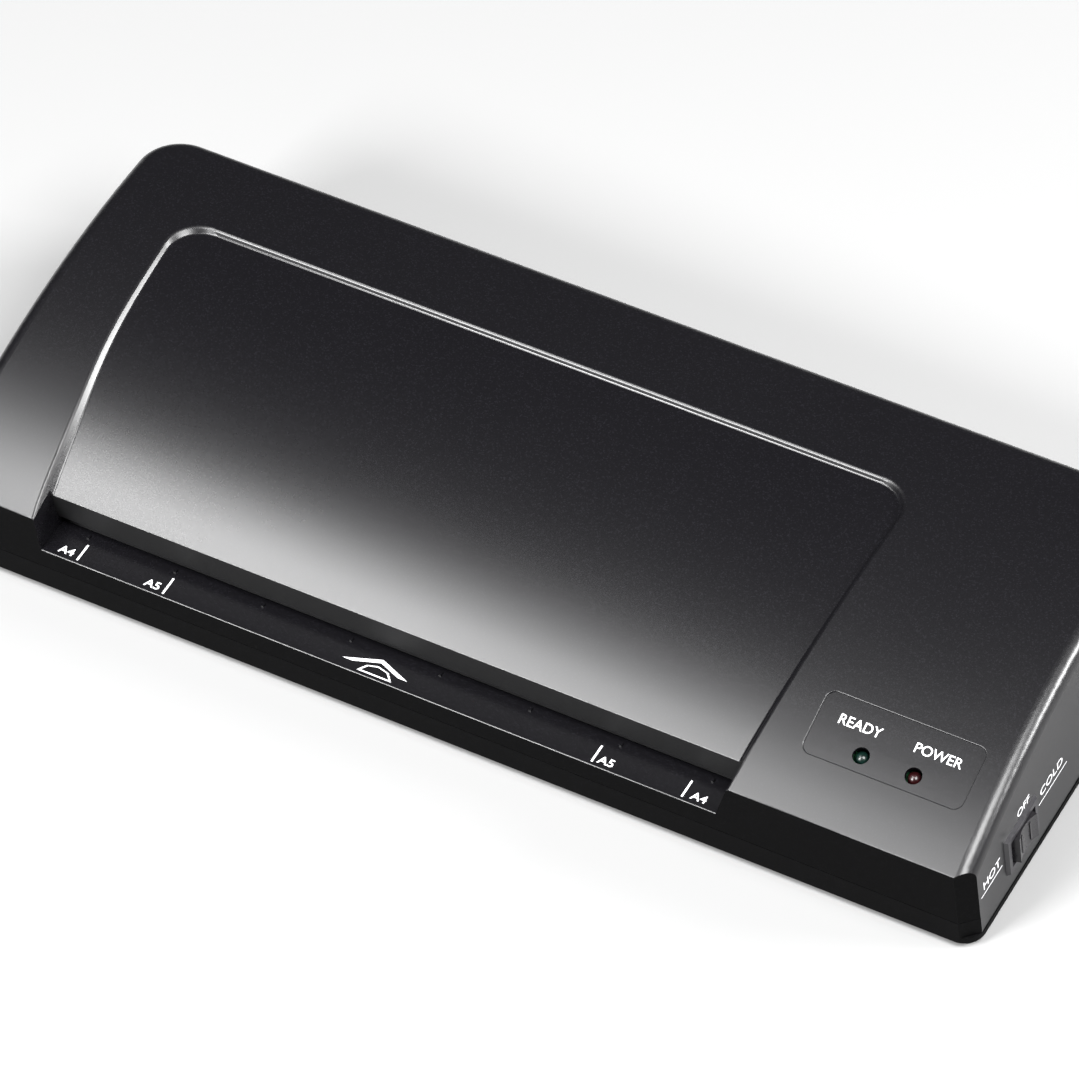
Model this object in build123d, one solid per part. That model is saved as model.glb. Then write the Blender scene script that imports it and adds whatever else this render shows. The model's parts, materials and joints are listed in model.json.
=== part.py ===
"""Hot and cold pouch laminator for A4: a low wedge-backed desktop machine, drawn
piece by piece: housing, chassis, heaters, rollers, drive, electronics, switch."""
from build123d import *
import os
from math import atan, cos, degrees, pi, radians, sin, sqrt, tan

os.makedirs("parts", exist_ok=True)

# Everything is drawn about the feed slot: X = 0 is the middle of the slot, Y = 0 the
# front face and Z = 0 the bottom edge of the housing. export() moves every piece by
# ORIGIN_SHIFT, which puts the origin at the bottom centre of the outline.

# ---- housing -------------------------------------------------------------------
LEFT = -158.9            # bottom edge of the left wall
RIGHT = 203.3            # bottom edge of the right wall
DEPTH = 147.0
WALL = 2.2
SIDE_LEAN = 0.077        # how far the side walls lean in, per mm of height
REAR_LEAN = 0.035
CROWN_R = 246.0          # the top is one big cylinder along X
CROWN_Y = 107.0          # where it is highest
CROWN_TOP = 55.1
REAR_CORNER = 15.0       # plan radius of the two rear corners
FRONT_FACET = 5.0        # flat facet on the two front corners
EDGE_R = 5.0             # rounding of the top's side and rear edges
SEAM = 3.0               # height of the joint line at the sides and rear
FRONT_SEAM = 9.5         # and along the front
SEAM_GAP = 0.2
FOOT_H = 2.0
FOOT_R = 6.0

# ---- sunk top panel, feed tray and slots -----------------------------------------
PANEL_SINK = ((10.6, 4.0), (60.0, 1.9), (112.0, 1.7))    # (Y, depth below the top)
PANEL_RIM = (            # (Y, X of the left rim, its lean per mm, X of the right rim, its lean)
    (0.0, -118.6, 0.60, 121.1, 0.5),
    (28.0, -121.4, 0.70, 123.6, 0.5),
    (56.0, -124.9, 0.95, 125.9, 0.5),
    (84.0, -127.4, 0.90, 127.8, 0.5),
    (111.8, -129.0, 0.70, 129.5, 0.5),
)
PANEL_DRAFT_BACK = 0.6
PANEL_BACK_Y = 111.8
PANEL_CORNER = 11.5
PANEL_EDGE_R = 1.2       # rounding of the rim's upper edge
PANEL_FOOT_R = 0.8       # and where the rim meets the panel
LIP_R = 0.5              # small rounding of the lips and the front's upper edge
TRAY_HALF = 117.1        # half the width of the feed shelf
LIP_Z = 17.1             # front lip of the shelf
SLOT_LOW = 16.9          # lower and upper lip of the feed slot
SLOT_HIGH = 21.2
SLOT_Y = 11.6            # upper lip of the slot
PANEL_LIP_Y = 10.6       # front edge of the sunk panel
PANEL_LIP_Z = 31.5
PIPS = 8                 # guide pips along the slot's lower lip
PIP_PITCH = 31.0
PIP_X0 = -106.5
EXIT_HALF = 117.5
EXIT_LOW = 16.8
EXIT_HIGH = 23.8

# ---- lamp window and switch ------------------------------------------------------
LABEL_X = (136.5, 189.2)
LABEL_Y = (17.8, 37.8)
LABEL_SINK = 0.5
LAMP_X = {"ready": 154.3, "power": 171.6}
LAMP_Y = 22.6
LAMP_R = 2.2
LAMP_HOLE_R = 2.7
SWITCH_Y = 33.0
SWITCH_Z = 17.3
BEZEL_LENGTH = 20.8
BEZEL_WIDTH = 15.0
BEZEL_PROUD = 1.2
ROCKER_LENGTH = 11.8
ROCKER_WIDTH = 9.8
ROCKER_PROUD = 2.9       # rocker ends above the wall
PIVOT_DEPTH = 2.0        # rocker pivot below the wall's surface
PIVOT_R = 1.0

# ---- roller pair and gear train --------------------------------------------------
MODULE = 0.8
ROLLER_TEETH = 20
IDLER_TEETH = 24
PINION_TEETH = 16
BACKLASH = 0.16
ROLLER_Y = 88.0
NIP_Z = 20.0
ROLLER_GAP = 0.3
CENTRES = MODULE * ROLLER_TEETH
ROLLER_R = (CENTRES - ROLLER_GAP) / 2
ROLLER_HALF = 117.3
CORE_R = 4.0
JOURNAL_R = 3.0
RUNNING = 0.05           # radial clearance of a running fit
LOWER_AXIS = (ROLLER_Y, NIP_Z - CENTRES / 2)
UPPER_AXIS = (ROLLER_Y, NIP_Z + CENTRES / 2)
LIFT = 1.0               # the upper roller rises this much for a thick pouch
GEAR_X = (124.0, 130.0)
IDLER_ANGLE = 8.0        # direction from the lower roller to the idler, from +Y
PINION_ANGLE = 50.0      # direction from the idler to the motor pinion

# ---- chassis and electronics -----------------------------------------------------
PLATE_IN = 120.0         # inner face of each side plate
SHEET = 1.5
FLOOR = 2.5              # floor of the lower housing
TAB_Z = 4.5
MOTOR_R = 21.0
MOTOR_X = (136.0, 154.0)
BRACKET_X = 134.5
BOARD_Z = 8.0
BOARD_T = 1.6
BOARD_X = (139.0, 195.0)
BOARD_Y = (12.0, 70.0)

CASE_SCREWS = ((-149, 16), (-149, 128), (-135, 72), (134, 10), (190, 84), (192, 130))
FEET = ((-132, 18), (-132, 124), (176, 18), (176, 124))
TAB_Y = (43, 123)
TIE_BARS = ((38, 29.5), (124, 37))
STANDOFFS = ((106, 42), (131, 41), (124, 9.5))
GLAND = (180.0, 14.0)
BOSS_R = 3.6
GLAND_BORE = 3.4

ORIGIN_SHIFT = (-22.98, -DEPTH / 2, FOOT_H)


def export(node, shape):
    """Write one piece, moved into the object's own frame."""
    export_step(Pos(*ORIGIN_SHIFT) * shape, os.path.join("parts", node + ".step"))


def box(x, y, z):
    """Box from (low, high) pairs."""
    size = [pair[1] - pair[0] for pair in (x, y, z)]
    middle = [(pair[0] + pair[1]) / 2 for pair in (x, y, z)]
    return Pos(*middle) * Box(*size)


def rod_x(yz, r, x0, x1):
    """Round bar along X at (y, z)."""
    return Pos((x0 + x1) / 2, *yz) * Rot(0, 90, 0) * Cylinder(r, x1 - x0)


def rod_y(xz, r, y0, y1):
    return Pos(xz[0], (y0 + y1) / 2, xz[1]) * Rot(90, 0, 0) * Cylinder(r, y1 - y0)


def rod_z(xy, r, z0, z1):
    return Pos(*xy, (z0 + z1) / 2) * Cylinder(r, z1 - z0)


def slab_x(points, x0, x1):
    """Polygon of (y, z) points, extruded along X."""
    face = make_face(Plane.YZ.offset(x0) * Polyline(*points, close=True))
    return extrude(face, x1 - x0, dir=(1, 0, 0))


def slab_y(points, y0, y1):
    """Polygon of (x, z) points, extruded along +Y."""
    face = make_face(Plane.XZ.offset(-y0) * Polyline(*points, close=True))
    return extrude(face, y1 - y0, dir=(0, 1, 0))


def group(pieces):
    """Separate solids that share one node."""
    return Compound([piece.solid() for piece in pieces])


# ---- housing surfaces --------------------------------------------------------------
def crown_z(y, below=0.0):
    """Height of the top surface, or of a surface `below` it, at depth y."""
    return CROWN_TOP - CROWN_R + sqrt((CROWN_R - below) ** 2 - (y - CROWN_Y) ** 2)


def wall_x(z):
    """Right wall's outer face at height z."""
    return RIGHT - SIDE_LEAN * z


def under_crown(below):
    """Everything under the top surface lowered by `below`."""
    y0, y1, low = -20.0, DEPTH + 20.0, -20.0
    arc = ThreePointArc((y0, crown_z(y0, below)), (CROWN_Y, CROWN_TOP - below), (y1, crown_z(y1, below)))
    sides = Polyline((y1, crown_z(y1, below)), (y1, low), (y0, low), (y0, crown_z(y0, below)))
    face = make_face(Plane.YZ.offset(LEFT - 10) * (Curve() + [arc, sides]))
    return extrude(face, RIGHT - LEFT + 20, dir=(1, 0, 0))


def under_panel(below=0.0):
    """Everything under the sunk panel's surface lowered by `below`."""
    heights = [(y, crown_z(y) - sink - below) for y, sink in PANEL_SINK]
    arc = ThreePointArc(*heights)
    y0, z0 = (arc @ 0).X, (arc @ 0).Y
    y1, z1 = (arc @ 1).X, (arc @ 1).Y
    nose = Line((y0, z0), (y0 - 20 * (arc % 0).X, z0 - 20 * (arc % 0).Y))
    tail = Line((y1, z1), (y1 + 20 * (arc % 1).X, z1 + 20 * (arc % 1).Y))
    first, last = nose @ 1, tail @ 1
    sides = Polyline((last.X, last.Y), (last.X, -20), (first.X, -20), (first.X, first.Y))
    face = make_face(Plane.YZ.offset(LEFT - 10) * (Curve() + [nose, arc, tail, sides]))
    return extrude(face, RIGHT - LEFT + 20, dir=(1, 0, 0))


def plan(inset, z, front_round=0.0):
    """Outline of the housing at height z, moved in by `inset`."""
    lean = SIDE_LEAN * z + inset
    x0, x1 = LEFT + lean, RIGHT - lean
    y0, y1 = inset, DEPTH - REAR_LEAN * z - inset
    face = Pos((x0 + x1) / 2, (y0 + y1) / 2, z) * Rectangle(x1 - x0, y1 - y0)
    rear = face.vertices().group_by(Axis.Y)[-1]
    face = fillet(rear, REAR_CORNER - inset)
    front = face.vertices().group_by(Axis.Y)[0]
    return fillet(front, front_round) if front_round else chamfer(front, FRONT_FACET)


def on_crown(edge, below):
    middle = edge @ 0.5
    return abs(middle.Z - crown_z(middle.Y, below)) < 0.02


def on_panel(edge):
    """True for an edge on the panel's surface, found by its depth below the top."""
    middle = edge @ 0.5
    depth = crown_z(middle.Y) - middle.Z
    return 1.2 < depth < 4.6 and middle.Z > 28 and abs(middle.X) < 131 and middle.Y < PANEL_BACK_Y + 1


def housing_block(inset, edge_r, z0, z1=62.0):
    """Solid with the housing's outer form, moved in by `inset` on every side."""
    block = loft([plan(inset, z0), plan(inset, z1)], ruled=True) & under_crown(inset)
    rim = [e for e in block.edges() if on_crown(e, inset) and (e @ 0.5).Y > FRONT_FACET + inset + 1]
    return fillet(rim, edge_r)


def panel_outline(z, grow):
    """Plan of the sunk panel's rim at height z; it runs out through the front face."""
    left, right = [], []
    for y, x0, lean0, x1, lean1 in PANEL_RIM:
        rise = z - crown_z(y)
        back = grow + PANEL_DRAFT_BACK * rise if y == PANEL_BACK_Y else 0.0
        left.append((x0 - lean0 * rise - grow, y + back))
        right.append((x1 + lean1 * rise + grow, y + back))
    nose = Polyline(left[0], (left[0][0], -4), (right[0][0], -4), right[0])
    face = make_face(Curve() + [Spline(*left), Spline(*right), nose, Line(left[-1], right[-1])])
    face = fillet(face.vertices().group_by(Axis.Y)[-1], PANEL_CORNER + grow)
    return Pos(0, 0, z) * face


def panel_prism(grow=0.0):
    """Space over the sunk panel, with leaning walls."""
    return loft([panel_outline(26.0, grow), panel_outline(CROWN_TOP + 3, grow)], ruled=True)


def tray_space(grow=0.0):
    """Room above the feed shelf; `grow` makes it larger all round."""
    lean = (PANEL_LIP_Y - SLOT_Y) / (PANEL_LIP_Z - SLOT_HIGH)
    top, back = CROWN_TOP, SLOT_Y + grow
    side = slab_x([(-3, LIP_Z - grow), (0.5, LIP_Z - grow), (back, SLOT_LOW - grow), (back, SLOT_HIGH),
                   (back + lean * (top - SLOT_HIGH), top), (-3, top)], LEFT, RIGHT)
    left_slope = (PANEL_RIM[0][1] + TRAY_HALF) / (31 - LIP_Z)
    right_slope = (PANEL_RIM[0][3] - TRAY_HALF) / (31 - LIP_Z)
    low, half, rise = LIP_Z - grow, TRAY_HALF + grow, top - LIP_Z + grow
    front = slab_y([(-half, low - 2), (half, low - 2), (half, low), (half + right_slope * rise, top),
                    (-half + left_slope * rise, top), (-half, low)], -3, 20)
    return side & front


def wall_place():
    """Frame on the right wall at the switch: local +Z points out, +X runs along +Y."""
    tilt = degrees(atan(SIDE_LEAN))
    out = (cos(radians(tilt)), 0, sin(radians(tilt)))
    return Location(Plane(origin=(wall_x(SWITCH_Z), SWITCH_Y, SWITCH_Z), x_dir=(0, 1, 0), z_dir=out))


def lamp_place(x):
    """Frame on the top surface at a lamp: local +Z points out of the surface."""
    slope = (CROWN_Y - LAMP_Y) / (crown_z(LAMP_Y) - CROWN_TOP + CROWN_R)
    tilt = atan(slope)
    out = (0, -sin(tilt), cos(tilt))
    return Location(Plane(origin=(x, LAMP_Y, crown_z(LAMP_Y)), x_dir=(1, 0, 0), z_dir=out))


# ---- housing pieces ------------------------------------------------------------------
def soften(body):
    """Takes the sharpness off the edges that a hand meets: front, lips and label pocket."""
    def long_edges(y, z, least):
        return [e for e in body.edges() if e.length > least
                and abs((e @ 0.5).Y - y) < 0.1 and abs((e @ 0.5).Z - z) < 0.1]

    body = fillet(long_edges(0.0, crown_z(0.0), 20), LIP_R)
    body = fillet(long_edges(0.0, LIP_Z, 200), LIP_R - 0.1)
    pocket = [e for e in body.edges() if on_crown(e, 0.0) and LABEL_X[0] - 1 < (e @ 0.5).X < LABEL_X[1] + 1
              and LABEL_Y[0] - 1 < (e @ 0.5).Y < LABEL_Y[1] + 1]
    body = fillet(pocket, 0.3)
    return fillet(long_edges(PANEL_LIP_Y, PANEL_LIP_Z, 200), LIP_R - 0.1)


def make_upper_housing():
    outer = housing_block(0.0, EDGE_R, SEAM + SEAM_GAP)
    body = outer - (panel_prism() - under_panel())
    low = [e for e in body.edges() if on_panel(e) and (e @ 0.5).Y > 3]
    body = fillet(low, PANEL_FOOT_R)
    high = [e for e in body.edges() if on_crown(e, 0.0) and 3 < (e @ 0.5).Y < PANEL_BACK_Y + 1
            and PANEL_RIM[-1][1] - 1 < (e @ 0.5).X < PANEL_RIM[-1][3] + 1]
    body = fillet(high, PANEL_EDGE_R)

    cavity = housing_block(WALL, EDGE_R - WALL, 0.0)
    cavity -= panel_prism(WALL) - under_panel(WALL)
    cavity -= tray_space(WALL)
    body -= cavity
    body -= tray_space()
    body -= box((-TRAY_HALF, TRAY_HALF), (SLOT_Y - 1, 20), (SLOT_LOW, SLOT_HIGH))
    for i in range(PIPS):
        x = PIP_X0 + i * PIP_PITCH
        body += box((x - 0.4, x + 0.4), (SLOT_Y - 1.2, SLOT_Y), (SLOT_LOW - 0.5, SLOT_LOW + 0.5))
    body -= box((LEFT - 1, RIGHT + 1), (-1, FRONT_FACET + 0.1), (0, FRONT_SEAM + SEAM_GAP))

    body -= box((-EXIT_HALF, EXIT_HALF), (DEPTH - 12, DEPTH + 2), (EXIT_LOW, EXIT_HIGH))
    for x, y in CASE_SCREWS:
        body += rod_z((x, y), BOSS_R, 10.0, crown_z(y - BOSS_R) - 1.0)
        body -= rod_z((x, y), 1.4, 9.0, 27.0)
    for x in LAMP_X.values():
        body -= lamp_place(x) * Cylinder(LAMP_HOLE_R, 12)

    label = Rectangle(LABEL_X[1] - LABEL_X[0], LABEL_Y[1] - LABEL_Y[0])
    label = fillet(label.vertices(), 3.0)
    pocket = extrude(Pos(sum(LABEL_X) / 2, sum(LABEL_Y) / 2) * label, CROWN_TOP, dir=(0, 0, 1))
    body -= pocket - under_crown(LABEL_SINK)

    body -= wall_place() * Box(BEZEL_LENGTH - 1.8, BEZEL_WIDTH - 2.0, 12)
    body += box((GLAND[0] - 10, GLAND[0] + 10), (DEPTH - 5, DEPTH - 1.2), (SEAM + 4.5, 24))
    body -= rod_y(GLAND, 7.4, DEPTH - 1.5, DEPTH + 2)
    body -= rod_y(GLAND, 5.1, DEPTH - 12, DEPTH + 2)
    return soften(body).solid()


def make_lower_housing():
    """Base tray: floor, locating lip, front strip and the posts that carry the works."""
    outline = plan(0.0, 0.0, front_round=7.0)
    body = extrude(outline, SEAM, dir=(0, 0, 1))
    body = fillet(body.edges().group_by(Axis.Z)[0], 0.8)
    body -= extrude(plan(2 * WALL, FLOOR, front_round=4.0), SEAM, dir=(0, 0, 1))
    lip = extrude(plan(WALL + 0.7, 0.0, front_round=4.0), 6.0, dir=(0, 0, 1))
    lip -= extrude(plan(2 * WALL - 0.2, 0.0, front_round=4.0), 8.0, dir=(0, 0, 1))
    lip -= box((LEFT, RIGHT), (0, 9), (0, 8))
    body += lip
    strip = loft([plan(0.0, SEAM - 0.5), plan(0.0, FRONT_SEAM)], ruled=True)
    strip -= loft([plan(WALL, SEAM - 1.0), plan(WALL, FRONT_SEAM + 1)], ruled=True)
    body += strip & box((LEFT, RIGHT), (-1, FRONT_FACET - 0.1), (0, FRONT_SEAM))

    for x, y in CASE_SCREWS:
        body += rod_z((x, y), 4.6, 1.0, 9.8)
    for x, y in board_corners():
        body += rod_z((x, y), 3.2, 1.0, BOARD_Z)
    for x, y in tab_screws():
        body += rod_z((x, y), 4.5, 1.0, TAB_Z)
    for x in (-60, 0, 60):
        body += box((x - 0.8, x + 0.8), (8, 34), (1, 6))

    for x, y in CASE_SCREWS:
        body -= rod_z((x, y), 1.7, -1, 11)
        body -= rod_z((x, y), 3.5, -1, 7.4)
    for x, y in board_corners():
        body -= rod_z((x, y), 1.1, 3.5, BOARD_Z + 1)
    for x, y in tab_screws():
        body -= rod_z((x, y), 1.4, 1.0, TAB_Z + 1)
    for x, y in FEET:
        body -= rod_z((x, y), FOOT_R + 0.1, -1, 1.0)
    for row_y in (58, 112):
        for i in range(9):
            x = -88 + 22 * i
            body -= box((x - 1.25, x + 1.25), (row_y - 9, row_y + 9), (-1, FLOOR + 1))
    return body.solid()


def board_corners():
    return [(x, y) for x in (BOARD_X[0] + 4, BOARD_X[1] - 4) for y in (BOARD_Y[0] + 4, BOARD_Y[1] - 4)]


def tab_screws():
    return [(side * (PLATE_IN - 6), y) for side in (-1, 1) for y in TAB_Y]


def screw_up(x, y, head_z, head_h, head_r, shank_r, length):
    """Screw with its head below and its shank pointing up."""
    shank = rod_z((x, y), shank_r, head_z, head_z + length)
    head = rod_z((x, y), head_r, head_z - head_h, head_z)
    deep = (head_z - head_h - 1, head_z - head_h + 0.9)
    cross = box((x - head_r / 2, x + head_r / 2), (y - 0.4, y + 0.4), deep)
    cross += box((x - 0.4, x + 0.4), (y - head_r / 2, y + head_r / 2), deep)
    return head + shank - cross


def screw_down(x, y, seat_z, head_h, head_r, shank_r, length):
    """Screw with its head on top and its shank pointing down."""
    shank = rod_z((x, y), shank_r, seat_z - length, seat_z)
    head = rod_z((x, y), head_r, seat_z, seat_z + head_h)
    top = seat_z + head_h
    cross = box((x - head_r / 2, x + head_r / 2), (y - 0.3, y + 0.3), (top - 0.7, top + 1))
    cross += box((x - 0.3, x + 0.3), (y - head_r / 2, y + head_r / 2), (top - 0.7, top + 1))
    return head + shank - cross


def make_feet():
    feet = []
    for x, y in FEET:
        foot = rod_z((x, y), FOOT_R, -FOOT_H, 1.0)
        feet.append(fillet(foot.edges().group_by(Axis.Z)[0], 0.5))
    return group(feet)


# ---- chassis -------------------------------------------------------------------------
def make_side_plate(side):
    """Bent sheet side plate; side is -1 for the left one and 1 for the right one."""
    outline = [(32, TAB_Z), (136, TAB_Z), (136, 39), (130, 45.5), (76, 45.5), (32, 33.5)]
    plate = slab_x(outline, PLATE_IN, PLATE_IN + SHEET)
    for y in TAB_Y:
        plate += box((PLATE_IN - 11, PLATE_IN + SHEET), (y - 7, y + 7), (TAB_Z, TAB_Z + SHEET))
        plate -= rod_z((PLATE_IN - 6, y), 1.7, 0, 10)
    # round seat of the lower bush, and the upright slot of the upper one with its spring nib
    plate -= rod_x(LOWER_AXIS, 5.0, PLATE_IN - 1, PLATE_IN + 3)
    low, top = UPPER_AXIS[1] - 5.05, 41.0
    plate -= box((PLATE_IN - 1, PLATE_IN + 3), (ROLLER_Y - 5.1, ROLLER_Y + 5.1), (low, top))
    plate += box((PLATE_IN, PLATE_IN + SHEET), (ROLLER_Y - 1.4, ROLLER_Y + 1.4), (top - 1.6, top))
    for y, z in TIE_BARS:
        plate -= rod_x((y, z), 1.6, PLATE_IN - 1, PLATE_IN + 3)
    # relief hole, and on the right the seats of the idler pin and the motor posts
    plate -= box((PLATE_IN - 1, PLATE_IN + 3), (54, 66), (30.5, 35))
    if side > 0:
        plate -= rod_x(idler_axis(), 2.5, PLATE_IN - 1, PLATE_IN + 3)
        for y, z in STANDOFFS:
            plate -= rod_x((y, z), 1.5, PLATE_IN - 1, PLATE_IN + 3)
        return plate.solid()
    return mirror(plate, Plane.YZ).solid()


def make_tie_bars():
    bars = []
    for y, z in TIE_BARS:
        bar = rod_x((y, z), 3.0, -PLATE_IN, PLATE_IN)
        bar -= (rod_x((y, z), 1.5, PLATE_IN - 10, PLATE_IN + 1)
                + rod_x((y, z), 1.5, -PLATE_IN - 1, 10 - PLATE_IN))
        bars.append(bar)
    return group(bars)


def make_tie_screws():
    screws = []
    for y, z in TIE_BARS:
        for side in (-1, 1):
            face = side * (PLATE_IN + SHEET)
            shank = rod_x((y, z), 1.45, *sorted((face, side * (PLATE_IN - 8))))
            head = rod_x((y, z), 2.8, *sorted((face, face + side * 1.8)))
            slot = box(sorted((face + side * 1.1, face + side * 3)), (y - 3, y + 3), (z - 0.4, z + 0.4))
            screws.append(head + shank - slot)
    return group(screws)


def guide(points, x_half=PLATE_IN):
    return slab_x(points, -x_half, x_half).solid()


# ---- heaters -------------------------------------------------------------------------
HEAT_Y = (42.5, 76.0)
HEAT_GAP = 1.5           # half the gap between the hot plates
HEAT_HALF = 117.2


def make_hot_plate(side):
    """Aluminium hot plate, bevelled where the pouch runs in; side is -1 below, 1 above."""
    near, far = NIP_Z + side * HEAT_GAP, NIP_Z + side * (HEAT_GAP + 3)
    y0, y1 = HEAT_Y
    section = [(y0, near + side * 1.2), (y0 + 4, near), (y1, near), (y1, far), (y0, far)]
    return slab_x(section, -HEAT_HALF, HEAT_HALF).solid()


def heat_layer(side, start, thick, inset, half):
    """Flat layer stacked on a hot plate, `start` mm out from its gap face."""
    a, b = (NIP_Z + side * (HEAT_GAP + start)), (NIP_Z + side * (HEAT_GAP + start + thick))
    return box((-half, half), (HEAT_Y[0] + inset, HEAT_Y[1] - inset), sorted((a, b)))


def make_clamp_bars():
    bars = []
    for side in (-1, 1):
        bar = heat_layer(side, 3.8, 1.2, 8, HEAT_HALF)
        outer = heat_layer(side, 3.8, 3.2, 8, HEAT_HALF)
        rib = outer & box((-HEAT_HALF, HEAT_HALF), (HEAT_Y[0] + 8, HEAT_Y[0] + 9.2), (0, 60))
        bars.append(bar + rib)
    return group(bars)


def make_insulators():
    blocks = []
    for side in (-1, 1):
        across = sorted((side * HEAT_HALF, side * PLATE_IN))
        blocks.append(box(across, (HEAT_Y[0] + 3, HEAT_Y[1] - 3), (12.0, 28.0)))
    return group(blocks)


def make_thermostat():
    top = NIP_Z + HEAT_GAP + 3.8 + 1.2
    x, y = -24.0, 62.0
    body = rod_z((x, y), 7.6, top, top + 4.5) + rod_z((x, y), 5.5, top + 4.5, top + 7.0)
    for side in (-1, 1):
        body += box(sorted((x + side * 4, x + side * 13)), (y - 2.4, y + 2.4), (top + 4.5, top + 5.3))
    return body.solid()


def make_thermal_fuse():
    z = NIP_Z + HEAT_GAP + 3.8 + 1.2 + 1.9
    body = rod_x((62, z), 1.8, 22, 34)
    return (body + rod_x((62, z), 0.5, 14, 42)).solid()


# ---- rollers -------------------------------------------------------------------------
def make_shaft(axis, right_end):
    """Steel roller shaft: thick core, journals at both ends, clip grooves."""
    shaft = rod_x(axis, CORE_R, -ROLLER_HALF - 0.5, ROLLER_HALF + 0.5)
    shaft += rod_x(axis, JOURNAL_R, -PLATE_IN - 5.5, right_end)
    for x in clip_places(right_end):
        shaft -= rod_x(axis, 6, x, x + 0.8) - rod_x(axis, 2.4, x, x + 0.8)
    return shaft.solid()


def clip_places(right_end):
    return (-PLATE_IN - 4.4, right_end - 1.8)


def make_clips(axis, right_end):
    clips = []
    for x in clip_places(right_end):
        clip = rod_x(axis, 4.6, x + 0.05, x + 0.75) - rod_x(axis, 2.4, x, x + 1)
        clip -= box((x, x + 1), (axis[0] - 1.6, axis[0] + 1.6), (axis[1], axis[1] + 6))
        clips.append(clip)
    return group(clips)


def make_sleeve(axis):
    sleeve = rod_x(axis, ROLLER_R, -ROLLER_HALF, ROLLER_HALF)
    return (sleeve - rod_x(axis, CORE_R, -ROLLER_HALF, ROLLER_HALF)).solid()


def make_lower_bushes():
    bushes = []
    for side in (-1, 1):
        body = rod_x(LOWER_AXIS, 5.0, *sorted((side * PLATE_IN, side * (PLATE_IN + SHEET + 0.6))))
        body += rod_x(LOWER_AXIS, 6.4, *sorted((side * (PLATE_IN - 1.4), side * PLATE_IN)))
        bushes.append(body - rod_x(LOWER_AXIS, JOURNAL_R + RUNNING, -PLATE_IN - 5, PLATE_IN + 5))
    return group(bushes)


def make_upper_bushes():
    """Sliding bearing blocks of the upper roller, flanged on the inner side."""
    y, z = UPPER_AXIS
    blocks = []
    for side in (-1, 1):
        block = box(sorted((side * PLATE_IN, side * (PLATE_IN + SHEET + 0.6))),
                    (y - 5, y + 5), (z - 5, z + 5))
        block += box(sorted((side * (PLATE_IN - 1.4), side * (PLATE_IN - 0.1))),
                     (y - 7, y + 7), (z - 5, z + 5))
        block += box(sorted((side * (PLATE_IN - 0.2), side * PLATE_IN)), (y - 5, y + 5), (z - 5, z + 5))
        block += box(sorted((side * (PLATE_IN + 0.1), side * (PLATE_IN + 1.4))),
                     (y - 1.4, y + 1.4), (z + 5, z + 6.4))
        blocks.append(block - rod_x(UPPER_AXIS, JOURNAL_R + RUNNING, -PLATE_IN - 5, PLATE_IN + 5))
    return group(blocks)


def make_springs():
    """Two coil springs that press the upper bearing blocks down."""
    wire, coil_r, low, top = 0.4, 2.7, UPPER_AXIS[1] + 5.45, 40.55
    springs = []
    for side in (-1, 1):
        helix = Helix(pitch=(top - low) / 4, height=top - low, radius=coil_r)
        section = Plane(origin=helix @ 0, z_dir=helix % 0) * Circle(wire)
        coil = sweep(section, path=helix, is_frenet=True)
        springs.append(Pos(side * (PLATE_IN + SHEET / 2), ROLLER_Y, low) * coil)
    return group(springs)


# ---- gears ---------------------------------------------------------------------------
def involute(angle):
    return tan(angle) - angle


def gear_outline(teeth, first_tooth):
    """Points of a spur gear with involute flanks; first_tooth is one tooth's direction in degrees."""
    pressure = radians(20)
    pitch_r = MODULE * teeth / 2
    base_r = pitch_r * cos(pressure)
    tip_r, root_r = pitch_r + 0.95 * MODULE, pitch_r - 1.25 * MODULE
    half_pitch_tooth = pi / (2 * teeth) - BACKLASH / (2 * pitch_r)
    start_r = max(base_r, root_r + 0.05)
    steps = 4
    flank = []
    for i in range(steps + 1):
        r = start_r + (tip_r - start_r) * i / steps
        roll = sqrt(max((r / base_r) ** 2 - 1, 0))
        flank.append((r, half_pitch_tooth + involute(pressure) - (roll - atan(roll))))
    points = []
    for tooth in range(teeth):
        centre = radians(first_tooth) + 2 * pi * tooth / teeth
        right = [(root_r, flank[0][1] * 1.1)] + flank
        angles = [(r, centre - a) for r, a in right] + [(r, centre + a) for r, a in reversed(right)]
        points += [(r * cos(a), r * sin(a)) for r, a in angles]
    return points


def gear(axis, teeth, first_tooth, bore, x=GEAR_X):
    """Spur gear on an X axis with a hub, `bore` being the radius of its hole."""
    points = [(axis[0] + y, axis[1] + z) for y, z in gear_outline(teeth, first_tooth)]
    body = slab_x(points, *x)
    return (body - rod_x(axis, bore, x[0] - 1, x[1] + 1)).solid()


def mesh_tooth(first_tooth, teeth, next_teeth, direction):
    """Tooth direction of the next gear, so that it meshes along `direction` (degrees)."""
    phase = (first_tooth - direction) * teeth / 360
    return direction + 180 + (0.5 - phase) * 360 / next_teeth


def step_from(axis, distance, direction):
    return (axis[0] + distance * cos(radians(direction)), axis[1] + distance * sin(radians(direction)))


def idler_axis():
    return step_from(LOWER_AXIS, MODULE * (ROLLER_TEETH + IDLER_TEETH) / 2, IDLER_ANGLE)


def pinion_axis():
    return step_from(idler_axis(), MODULE * (IDLER_TEETH + PINION_TEETH) / 2, PINION_ANGLE)


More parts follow.
